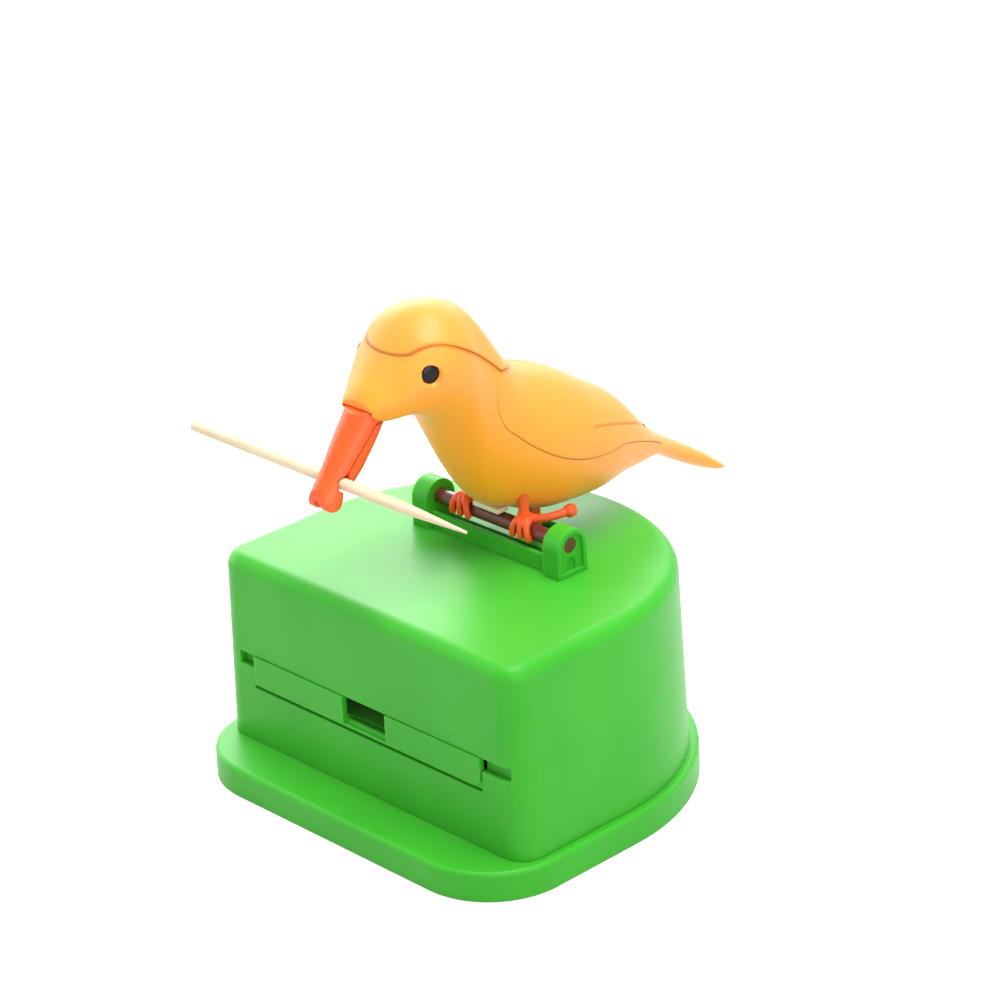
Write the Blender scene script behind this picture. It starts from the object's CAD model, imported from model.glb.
import math

import bmesh
import bpy
from mathutils import Matrix, Vector


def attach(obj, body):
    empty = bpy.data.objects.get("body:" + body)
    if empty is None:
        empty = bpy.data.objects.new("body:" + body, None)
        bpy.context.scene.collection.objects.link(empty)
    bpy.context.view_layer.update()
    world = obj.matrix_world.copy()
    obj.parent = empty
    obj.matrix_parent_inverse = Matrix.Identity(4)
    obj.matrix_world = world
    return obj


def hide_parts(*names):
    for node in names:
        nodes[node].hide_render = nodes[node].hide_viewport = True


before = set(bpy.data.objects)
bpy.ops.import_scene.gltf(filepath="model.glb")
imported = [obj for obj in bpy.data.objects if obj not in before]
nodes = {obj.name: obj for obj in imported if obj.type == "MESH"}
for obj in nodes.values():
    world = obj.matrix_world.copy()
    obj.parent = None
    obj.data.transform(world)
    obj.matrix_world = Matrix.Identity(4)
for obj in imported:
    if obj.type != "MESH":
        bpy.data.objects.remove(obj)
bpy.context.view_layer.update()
print("frame loaded:", len(nodes), "nodes")


def linear(red, green, blue):  # 0-255 as on screen, to the values that shaders use
    shares = [level / 255 for level in (red, green, blue)]
    return tuple(share / 12.92 if share <= 0.04045 else ((share + 0.055) / 1.055) ** 2.4
                 for share in shares) + (1.0,)


class Wire:  # an output socket that can stand in a sum
    def __init__(self, finish, socket):
        self.finish = finish
        self.socket = socket

    def combine(self, operation, first, second):
        return self.finish.node("ShaderNodeMath", {"operation": operation}, {0: first, 1: second})

    def __add__(self, other):
        return self.combine("ADD", self, other)

    def __radd__(self, other):
        return self.combine("ADD", other, self)

    def __sub__(self, other):
        return self.combine("SUBTRACT", self, other)

    def __rsub__(self, other):
        return self.combine("SUBTRACT", other, self)

    def __mul__(self, other):
        return self.combine("MULTIPLY", self, other)

    def __rmul__(self, other):
        return self.combine("MULTIPLY", other, self)

    def larger(self, other):
        return self.combine("MAXIMUM", self, other)

    def step(self, low, high):  # 0 below low, 1 above high, smooth between
        return self.finish.node("ShaderNodeMapRange", {"interpolation_type": "SMOOTHSTEP"},
                                {"Value": self, "From Min": low, "From Max": high})


class Finish:  # the nodes of one material, or of the world
    def __init__(self, owner):
        owner.use_nodes = True
        self.owner = owner
        self.tree = owner.node_tree
        self.tree.nodes.clear()

    def node(self, kind, settings=None, values=None, out=0):
        made = self.tree.nodes.new(kind)
        for key, value in (settings or {}).items():
            setattr(made, key, value)
        for key, value in (values or {}).items():
            if isinstance(value, Wire):
                self.tree.links.new(value.socket, made.inputs[key])
            else:
                made.inputs[key].default_value = value
        return Wire(self, made.outputs[out]) if made.outputs else None

    def place(self):  # metres in the object's own frame
        return self.node("ShaderNodeTexCoord", out="Object")

    def axes(self, vector):
        return [self.node("ShaderNodeSeparateXYZ", None, {0: vector}, axis) for axis in "XYZ"]

    def noise(self, vector, scale, detail, rough=0.5, twist=0.0):
        return self.node("ShaderNodeTexNoise", None,
                         {"Vector": vector, "Scale": scale, "Detail": detail,
                          "Roughness": rough, "Distortion": twist})

    def streaks(self, vector, scale, detail, turn=(0, 0, 0), **more):  # a scale for each axis
        drawn = self.node("ShaderNodeMapping", None,
                          {"Vector": vector, "Scale": scale, "Rotation": turn})
        return self.noise(drawn, 1.0, detail, **more)

    def mix(self, factor, first, second):  # of two colours
        return self.node("ShaderNodeMix", {"data_type": "RGBA"},
                         {0: factor, 6: first, 7: second}, 2)

    def bump(self, height, strength, distance, below=None):
        values = {"Height": height, "Strength": strength, "Distance": distance}
        if below is not None:
            values["Normal"] = below
        return self.node("ShaderNodeBump", None, values)

    def eased(self, radius):  # edges rounded in the shading only, or left sharp at 0
        return self.node("ShaderNodeBevel", {"samples": 6}, {"Radius": radius}) if radius else None

    def close(self, shader, kind="ShaderNodeOutputMaterial"):
        self.node(kind, None, {"Surface": shader})

    def surface(self, values):
        self.close(self.node("ShaderNodeBsdfPrincipled", None, values))
        return self.owner

    def plastic(self, look, colour, rough, normal):
        return self.surface({
            "Base Color": colour, "Roughness": rough, "Normal": normal,
            "IOR": look["ior"], "Specular IOR Level": look["gloss"],
            "Sheen Weight": look["sheen"], "Sheen Roughness": look["sheenSpread"],
            "Coat Weight": look["coat"], "Coat Roughness": look["coatBlur"],
            "Subsurface Weight": look["soft"], "Subsurface Scale": look["softReach"],
            "Subsurface Radius": look["softTint"],
        })


def newFinish(name):
    return Finish(bpy.data.materials.new(name))


plainPlastic = {  # what the plastics below have unless they say otherwise
    "ior": 1.5,
    "gloss": 0.5,  # strength of reflections seen head on
    "sheen": 0.0,
    "sheenSpread": 0.4,
    "coat": 0.0,
    "coatBlur": 0.12,
    "soft": 0.0,  # share of the light that goes into the plastic
    "softReach": 0.002,
    "softTint": (1.0, 0.6, 0.3),
    "edge": 0.0,  # metres over which the shading rounds an edge
    "cloudScale": 45,  # a pattern's scale is how many of it go into a metre
    "clouding": 0.6,
    "flowScale": 90,
    "peelScale": 900,
    "rubScale": 160,
    "scuffScale": (260, 2600, 900),
    "scuffTurn": (0.2, 0.1, 0.6),
    "scuffing": 0.16,
}
greenPlastic = {
    "main": linear(58, 174, 38),
    "shade": linear(50, 164, 32),
    "pale": linear(116, 214, 104),
    "roughness": 0.4,
    "gloss": 0.28,
    "sheen": 0.1,
    "peel": 0.05,
    "soft": 0.5,
    "softTint": (0.5, 1.0, 0.4),
    "edge": 0.00025,
}
orangePlastic = {
    "main": linear(247, 96, 38),
    "shade": linear(236, 84, 30),
    "pale": linear(255, 170, 130),
    "roughness": 0.32,
    "gloss": 0.34,
    "peel": 0.05,
    "peelScale": 1300,
    "soft": 0.15,
    "softTint": (1.0, 0.4, 0.2),
}
rodPlastic = {
    "main": linear(106, 46, 42),
    "shade": linear(80, 32, 32),
    "pale": linear(150, 96, 90),
    "roughness": 0.24,
    "peel": 0.04,
    "coat": 0.3,
}
palePlastic = {
    "main": linear(238, 226, 200),
    "shade": linear(228, 212, 182),
    "pale": linear(250, 244, 230),
    "roughness": 0.45,
    "peel": 0.06,
}
eyePlastic = {
    "main": linear(16, 14, 16),
    "shade": linear(10, 9, 10),
    "pale": linear(60, 58, 60),
    "roughness": 0.2,
    "gloss": 0.3,
    "peel": 0.02,
    "peelScale": 1600,
}


# Injection-moulded plastic: slow flow clouds, fine orange peel, hairline scuffs and rubbed patches.
def mouldedPlastic(name, changes):
    look = {**plainPlastic, **changes}
    finish = newFinish(name)
    place = finish.place()
    cloud = finish.noise(place, look["cloudScale"], detail=2.0).step(0.35, 0.68)
    rub = finish.noise(place, look["rubScale"], detail=5.0, rough=0.6).step(0.56, 0.75)
    scuff = finish.streaks(place, look["scuffScale"], detail=3.0, turn=look["scuffTurn"])
    worn = scuff.step(0.62, 0.7) * rub
    colour = finish.mix(cloud * look["clouding"], look["main"], look["shade"])
    colour = finish.mix(worn * look["scuffing"], colour, look["pale"])
    rough = look["roughness"] + cloud * 0.03 + rub * 0.05 + worn * 0.12
    flow = finish.noise(place, look["flowScale"], detail=1.0)
    peel = finish.noise(place, look["peelScale"], detail=2.0)
    normal = finish.bump(flow, strength=0.25, distance=0.0002, below=finish.eased(look["edge"]))
    normal = finish.bump(peel, strength=look["peel"], distance=0.0002, below=normal)
    normal = finish.bump(worn, strength=0.05, distance=0.00005, below=normal)
    return finish.plastic(look, colour, rough, normal)


birdPlastic = {
    "high": linear(252, 158, 58),
    "low": linear(255, 160, 6),
    "pale": linear(255, 224, 160),
    "roughness": 0.36,
    "lowest": 0.05,  # the low colour below this, in metres
    "highest": 0.084,  # the high colour above this
    "backFrom": 0.012,  # metres in front of the origin
    "backShare": 0.5,  # the back and tail are paler than the breast at the same height
    "ior": 1.49,
    "gloss": 0.4,
    "sheen": 0.16,
    "soft": 0.3,
    "softReach": 0.0015,
    "edge": 0.0007,
    "cloudScale": 70,
    "clouding": 0.2,
    "flowScale": 130,
    "peelScale": 1100,
    "scuffScale": (1500, 300, 1100),
    "scuffTurn": (0.5, 0.2, 0.1),
    "scuffing": 0.05,
}


# The bird's plastic is a little clear, so it deepens to amber where it is thick and low.
def birdFinish(name, changes):
    look = {**plainPlastic, **changes}
    finish = newFinish(name)
    place = finish.place()
    y, z = finish.axes(place)[1:]
    rise = (z + (y + look["backFrom"]) * look["backShare"]).step(look["lowest"], look["highest"])
    cloud = finish.noise(place, look["cloudScale"], detail=2.0)
    scuff = finish.streaks(place, look["scuffScale"], detail=3.0, turn=look["scuffTurn"])
    scuff = scuff.step(0.62, 0.72)
    clouded = rise + cloud * look["clouding"] - look["clouding"] / 2
    colour = finish.mix(clouded, look["low"], look["high"])
    colour = finish.mix(scuff * look["scuffing"], colour, look["pale"])
    rough = look["roughness"] + cloud * 0.08 + scuff * 0.08
    flow = finish.noise(place, look["flowScale"], detail=1.0)
    peel = finish.noise(place, look["peelScale"], detail=2.0)
    normal = finish.bump(flow, strength=0.15, distance=0.0002, below=finish.eased(look["edge"]))
    normal = finish.bump(peel, strength=0.04, distance=0.0002, below=normal)
    return finish.plastic(look, colour, rough, normal)


pickWood = {
    "early": linear(236, 220, 192),
    "late": linear(220, 198, 160),
    "pore": linear(190, 154, 106),
    "roughness": 0.6,
    "fibreScale": (60, 2400, 2400),
    "poreScale": (240, 7000, 7000),
    "toneScale": (8, 420, 420),  # wide enough to differ from one toothpick to the next
}


# Birch with the grain along the toothpick, so that its ends show the pores as dots.
def woodFinish(name, look):
    finish = newFinish(name)
    place = finish.place()
    band = finish.streaks(place, look["fibreScale"], detail=4.0, rough=0.55, twist=0.4)
    pores = finish.streaks(place, look["poreScale"], detail=2.0).step(0.6, 0.72)
    tone = finish.streaks(place, look["toneScale"], detail=1.0).step(0.35, 0.7)
    colour = finish.mix(band.step(0.35, 0.7), look["early"], look["late"])
    colour = finish.mix(tone * 0.35, colour, look["late"])
    colour = finish.mix(pores * 0.5, colour, look["pore"])
    normal = finish.bump(band, strength=0.35, distance=0.00012)
    normal = finish.bump(pores, strength=0.3, distance=0.00006, below=normal)
    return finish.surface({"Base Color": colour, "Roughness": look["roughness"] + band * 0.15,
                           "Normal": normal, "IOR": 1.45})


brightSteel = {
    "main": linear(196, 196, 200),
    "dull": linear(150, 148, 146),
    "roughness": 0.24,
    "cloudScale": 500,
    "drawScale": (4000, 4000, 600),
}


# Plated steel wire and screws, with fine lines from drawing.
def steelFinish(name, look):
    finish = newFinish(name)
    place = finish.place()
    cloud = finish.noise(place, look["cloudScale"], detail=3.0)
    draw = finish.streaks(place, look["drawScale"], detail=3.0)
    colour = finish.mix(cloud.step(0.4, 0.75) * 0.5, look["main"], look["dull"])
    normal = finish.bump(draw, strength=0.15, distance=0.00004)
    return finish.surface({"Base Color": colour, "Metallic": 1.0, "Normal": normal,
                           "Roughness": look["roughness"] + draw * 0.15 + cloud * 0.06})


finishes = {
    "greenCover": mouldedPlastic("greenCover", greenPlastic),
    "amberBird": birdFinish("amberBird", birdPlastic),
    "amberShell": birdFinish("amberShell", {**birdPlastic, "edge": 0}),  # no line where halves meet
    "orangeBeak": mouldedPlastic("orangeBeak", orangePlastic),
    "brownRod": mouldedPlastic("brownRod", rodPlastic),
    "creamPlate": mouldedPlastic("creamPlate", palePlastic),
    "blackEye": mouldedPlastic("blackEye", eyePlastic),
    "birchWood": woodFinish("birchWood", pickWood),
    "zincSteel": steelFinish("zincSteel", brightSteel),
}
nodeFinish = {
    "greenCover": ("base_plate", "cover", "front_flap", "hopper_tray", "perch_bracket"),
    "amberBird": ("crown_cap", "wing_left", "wing_right"),
    "amberShell": ("bird_shell_left", "bird_shell_right"),
    "orangeBeak": ("beak_upper", "beak_lower", "foot_left", "foot_right", "leg_saddle"),
    "brownRod": ("perch_rod",),
    "creamPlate": ("belly_plate",),
    "blackEye": ("eye_left", "eye_right"),
    "birchWood": ("toothpick_held", "toothpick_stock"),
    "zincSteel": ("return_spring", "tray_screws", "bracket_screws"),
}
for finishName, members in nodeFinish.items():
    for member in members:
        node = nodes[member]
        if not node.material_slots:
            node.data.materials.append(finishes[finishName])
        for materialSlot in node.material_slots:
            materialSlot.material = finishes[finishName]
print("finishes set:", len(finishes))


def mm(*values):
    return Vector(value / 1000 for value in values)


def circle(centre, radius, first, second, sides):  # points from one direction towards the other
    turns = [2 * math.pi * side / sides for side in range(sides)]
    return [centre + radius * (first * math.cos(turn) + second * math.sin(turn)) for turn in turns]


def joinCircles(mesh, circles):  # one closed skin through circles with the same number of points
    rings = [[mesh.verts.new(point) for point in points] for points in circles]
    for low, high in zip(rings, rings[1:]):
        for side in range(len(low)):
            after = (side + 1) % len(low)
            mesh.faces.new((low[side], low[after], high[after], high[side]))
    mesh.faces.new(list(reversed(rings[0])))
    mesh.faces.new(rings[-1])


rodShape = {
    "sides": 20,
    "endTurns": (18, 36, 54, 72, 90),  # rings of a round end, in degrees from the rod to its tip
    "tip": 0.02,  # the last ring, as a share of the rod's radius
    "steps": 6,  # stations between two given points
}


# A round rod along a line of points, as thick at each point as its radius there, with round ends.
def addRod(mesh, points, radii):
    runs = [(b - a).normalized() for a, b in zip(points, points[1:])]
    forward = [runs[0]] + [(a + b).normalized() for a, b in zip(runs, runs[1:])] + [runs[-1]]

    def endRing(end, way, turn):
        turn = math.radians(turn)
        return (points[end] + forward[end] * way * radii[end] * math.sin(turn),
                radii[end] * max(math.cos(turn), rodShape["tip"]), forward[end])

    stations = [endRing(0, -1, turn) for turn in reversed(rodShape["endTurns"])]
    stations += zip(points, radii, forward)
    stations += [endRing(-1, 1, turn) for turn in rodShape["endTurns"]]
    circles = []
    across = forward[0].orthogonal().normalized()
    for centre, radius, way in stations:
        across = (across - way * across.dot(way)).normalized()
        circles.append(circle(centre, radius, across, way.cross(across), rodShape["sides"]))
    joinCircles(mesh, circles)


def curveThrough(points, steps):  # a smooth line through points
    line = []
    for number in range(len(points) - 1):
        before, start = points[max(number - 1, 0)], points[number]
        end, after = points[number + 1], points[min(number + 2, len(points) - 1)]
        for step in range(steps):
            t = step / steps
            line.append(0.5 * ((2 * start) + (end - before) * t +
                               (2 * before - 5 * start + 4 * end - after) * t * t +
                               (3 * start - before - 3 * end + after) * t ** 3))
    return line + [points[-1]]


def spread(values, steps):  # even steps between values
    out = []
    for a, b in zip(values, values[1:]):
        out += [a + (b - a) * step / steps for step in range(steps)]
    return out + [values[-1]]


def addBentRod(mesh, points, radii):  # radii in millimetres
    steps = rodShape["steps"]
    addRod(mesh, curveThrough(points, steps), [radius / 1000 for radius in spread(radii, steps)])


def addObject(name, data):
    made = bpy.data.objects.new(name, data)
    bpy.context.scene.collection.objects.link(made)
    return made


def newPiece(name, mesh, finishName, slotName, body, *stoodFor):
    data = bpy.data.meshes.new(name)
    mesh.to_mesh(data)
    mesh.free()
    piece = addObject(name, data)
    data.materials.append(finishes[finishName])
    for face in data.polygons:
        face.use_smooth = True
    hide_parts(*stoodFor)
    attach(piece, body)
    return piece


# One skin over the parts of a piece, with its edges rounded as a mould leaves them.
def blendSkin(piece, look):
    skin = piece.modifiers.new("skin", "REMESH")
    skin.mode = "VOXEL"
    skin.voxel_size = look["voxel"]
    skin.use_smooth_shade = True
    rounding = piece.modifiers.new("rounding", "SMOOTH")
    rounding.factor = 0.5
    rounding.iterations = look["rounding"]
    graph = bpy.context.evaluated_depsgraph_get()
    made = bpy.data.meshes.new_from_object(piece.evaluated_get(graph))
    piece.modifiers.clear()
    piece.data = made


hands = (("Right", 1), ("Left", -1))  # as seen from the front, with the way along X

beakLook = {
    "weld": 1e-6,  # metres, as the voxel
    "voxel": 0.00016,
    "rounding": 9,  # passes of smoothing
}


# Upper or lower half of the beak, with the edges of its fork and hook rounded.
def makeBeak(part, look):
    mesh = bmesh.new()
    mesh.from_mesh(nodes["beak_" + part].data)
    bmesh.ops.remove_doubles(mesh, verts=mesh.verts, dist=look["weld"])
    piece = newPiece("beak" + part.capitalize(), mesh, "orangeBeak", "orange_plastic", "bird",
                     "beak_" + part)
    blendSkin(piece, look)


makeBeak("upper", beakLook)
makeBeak("lower", beakLook)

eyeLook = {
    "middle": (0, -10, 79),  # millimetres, as every length here
    "turn": 18,  # degrees ahead of straight out
    "radius": 1.5,
    "seat": 7.62,
    "rim": 8.45,
    "dome": 0.34,
    "domeTurns": range(6, 90, 6),  # rings of the dome, in degrees from the rim
    "domePower": 0.8,  # below 1 the rim is fuller than an ellipse's
    "sides": 48,
}


# Bead with a rounded rim and a low dome, turned about the eye's own axis.
def makeEye(hand, side, look):
    mesh = bmesh.new()
    turn = math.radians(look["turn"])
    outward = Vector((side * math.cos(turn), -math.sin(turn), 0))
    up = Vector((0, 0, 1))
    profile = [(look["seat"], look["radius"]), (look["rim"], look["radius"])]
    for domeTurn in look["domeTurns"]:
        domeTurn = math.radians(domeTurn)
        profile.append((look["rim"] + look["dome"] * math.sin(domeTurn),
                        look["radius"] * math.cos(domeTurn) ** look["domePower"]))
    circles = [circle(Vector(look["middle"]) + outward * height, radius, up, outward.cross(up),
                      look["sides"]) for height, radius in profile]
    joinCircles(mesh, [[point / 1000 for point in points] for points in circles])
    bmesh.ops.recalc_face_normals(mesh, faces=mesh.faces)
    newPiece("eye" + hand, mesh, "blackEye", "black_gloss", "bird", "eye_" + hand.lower())


for hand, side in hands:
    makeEye(hand, side, eyeLook)

footLook = {  # millimetres
    "rod": (8.0, 44.5),  # the perch rod's axis: Y and Z
    "middle": 7.2,
    "grip": 1.9,  # middle of a toe, from the rod's axis
    "splay": 1.75,
    "toe": (  # outward, share of the splay, degrees about the rod, beyond the grip, radius
        (-0.25, 0, 84, 0.25, 0.95),
        (0, 0.45, 116, 0.3, 0.85),
        (0, 0.85, 148, 0.2, 0.56),
        (0, 1, 178, 0.02, 0.56),
        (0, 1.08, 202, 0, 0.6),
    ),
    "thumb": (
        (0, 0, 100, 0.1, 0.95),
        (0.2, 0, 60, 0.1, 0.85),
        (0.5, 0, 20, 0, 0.62),
        (0.5, 0, -15, -0.05, 0.55),
    ),
    "spurRoot": (0.2, 75),  # outward of the middle, degrees about the rod
    "spurBend": (8.3, 3.6, 1.2),  # outward, behind and above the rod's axis
    "spurEnd": (9.6, 7.6, 1.5),
    "spurRadii": (0.9, 0.72, 0.8),
    "lobe": 1.2,
    "lobeHalf": 0.1,
    "ankleRoot": (-0.4, 92),
    "ankleEnd": (6.4, 0.0, 2.4),
    "ankleRadii": (1.25, 1.15),
    "voxel": 0.00013,
    "rounding": 5,
}


# Foot round the rod: three splayed toes in front, a thumb behind and a long spur with a lobe.
def makeFoot(hand, side, look):
    mesh = bmesh.new()
    rodY, rodZ = look["rod"]

    def off(x, y, z):  # from the rod's axis
        return mm(side * x, rodY + y, rodZ + z)

    def spot(outward, turn, beyond=0):  # about the rod: 90 degrees is straight up, 180 ahead
        reach = look["grip"] + beyond
        turn = math.radians(turn)
        return off(look["middle"] + outward, reach * math.cos(turn), reach * math.sin(turn))

    def addToe(rows, number=0):
        spots, radii = [], []
        for outward, share, turn, beyond, radius in rows:
            spots.append(spot(outward + number * look["splay"] * share, turn, beyond))
            radii.append(radius)
        addBentRod(mesh, spots, radii)

    for number in (-1, 0, 1):
        addToe(look["toe"], number)
    addToe(look["thumb"])
    spurEnd = off(*look["spurEnd"])
    addBentRod(mesh, [spot(*look["spurRoot"]), off(*look["spurBend"]), spurEnd], look["spurRadii"])
    half = mm(0, look["lobeHalf"], 0)
    addRod(mesh, [spurEnd - half, spurEnd + half], [look["lobe"] / 1000] * 2)
    addRod(mesh, [spot(*look["ankleRoot"]), off(*look["ankleEnd"])],
           [radius / 1000 for radius in look["ankleRadii"]])
    bmesh.ops.recalc_face_normals(mesh, faces=mesh.faces)
    piece = newPiece("foot" + hand, mesh, "orangeBeak", "orange_plastic", "bird",
                     "foot_" + hand.lower())
    blendSkin(piece, look)


for hand, side in hands:
    makeFoot(hand, side, footLook)
print("beak, eyes and feet made")


studio = {
    "target": (0.0, 0.0, 0.035),  # what the lamps face
    "floorSize": 3.0,
    "floorDrop": 0.0001,
    "floorColour": (0.7, 0.7, 0.7, 1.0),
    "floorRoughness": 0.95,
    "floorGloss": 0.1,
    "floorLift": 0.5,  # added for the camera only, so that the floor reads white
    "worldColour": (0.97, 0.98, 1.0, 1.0),
    "worldLight": 0.42,
    "shineLight": 1.0,  # what glossy surfaces see of the room
    "white": (1.0, 1.0, 1.0, 1.0),
}
lamps = {  # size in metres, power in watts
    "windowLamp": {"place": (-0.66, 0.36, 0.42), "size": 0.5, "power": 3.8},
    "backLamp": {"place": (-0.42, 0.6, 0.4), "size": 0.5, "power": 1.6},
    "roomLamp": {"place": (0.15, 0.0, 0.85), "size": 0.6, "power": 9.4, "tint": (1.0, 0.99, 0.97)},
    "leftLamp": {"place": (-0.85, -0.2, 0.2), "size": 0.6, "power": 3.0},
    "sideLamp": {"place": (0.78, -0.25, 0.14), "size": 0.6, "power": 3.2},
}


def layFloor(look):
    half = look["floorSize"] / 2
    mesh = bpy.data.meshes.new("studioFloor")
    mesh.from_pydata([(-half, -half, 0), (half, -half, 0), (half, half, 0), (-half, half, 0)], [],
                     [(0, 1, 2, 3)])
    floor = addObject("studioFloor", mesh)
    floor.location.z = -look["floorDrop"]
    finish = newFinish("paleFloor")
    paper = finish.node("ShaderNodeBsdfPrincipled", None,
                        {"Base Color": look["floorColour"], "Roughness": look["floorRoughness"],
                         "Specular IOR Level": look["floorGloss"]})
    seen = finish.node("ShaderNodeLightPath", out="Is Camera Ray")
    lift = finish.node("ShaderNodeEmission", None,
                       {"Color": look["white"], "Strength": look["floorLift"]})
    both = finish.node("ShaderNodeAddShader", None, {0: paper, 1: lift})
    finish.close(finish.node("ShaderNodeMixShader", None, {0: seen, 1: paper, 2: both}))
    mesh.materials.append(finish.owner)


def hangLamp(name, look, target):
    lamp = bpy.data.lights.new(name, "AREA")
    lamp.shape = "SQUARE"
    lamp.size = look["size"]
    lamp.energy = look["power"]
    lamp.color = look.get("tint", (1.0, 1.0, 1.0))
    holder = addObject(name, lamp)
    holder.location = look["place"]
    facing = Vector(look["place"]) - Vector(target)
    holder.rotation_euler = facing.to_track_quat("Z", "Y").to_euler()


def lightWorld(look):
    world = bpy.data.worlds.new("studioWorld")
    bpy.context.scene.world = world
    finish = Finish(world)
    seen, clear, shiny = (finish.node("ShaderNodeLightPath", out=f"Is {kind} Ray")
                          for kind in ("Camera", "Transmission", "Glossy"))
    white = seen.larger(clear).larger(shiny * look["shineLight"])
    dim = finish.node("ShaderNodeBackground", None,
                      {"Color": look["worldColour"], "Strength": look["worldLight"]})
    bright = finish.node("ShaderNodeBackground", None, {"Color": look["white"], "Strength": 1.0})
    finish.close(finish.node("ShaderNodeMixShader", None, {0: white, 1: dim, 2: bright}),
                 "ShaderNodeOutputWorld")


cameraView = {
    "place": (0.401994, -0.368524, 0.296328),
    "right": (0.69779, 0.71499, -0.04333),
    "up": (-0.26717, 0.31591, 0.91039),
    "ahead": (-0.66461, 0.62369, -0.41147),
    "lens": 130.67,
    "sensor": 36.0,
    "nearest": 0.01,
}


def setCamera(view):
    data = bpy.data.cameras.new("mainCamera")
    data.lens = view["lens"]
    data.sensor_width = view["sensor"]
    data.clip_start = view["nearest"]
    camera = addObject("mainCamera", data)
    right, up, ahead = (Vector(view[key]).normalized() for key in ("right", "up", "ahead"))
    turn = Matrix((right, up, -ahead)).transposed().to_4x4()
    camera.matrix_world = Matrix.Translation(Vector(view["place"])) @ turn
    bpy.context.scene.camera = camera


layFloor(studio)
for name, look in lamps.items():
    hangLamp(name, look, studio["target"])
lightWorld(studio)
setCamera(cameraView)
bpy.context.scene.view_settings.view_transform = "Standard"
print("studio set")
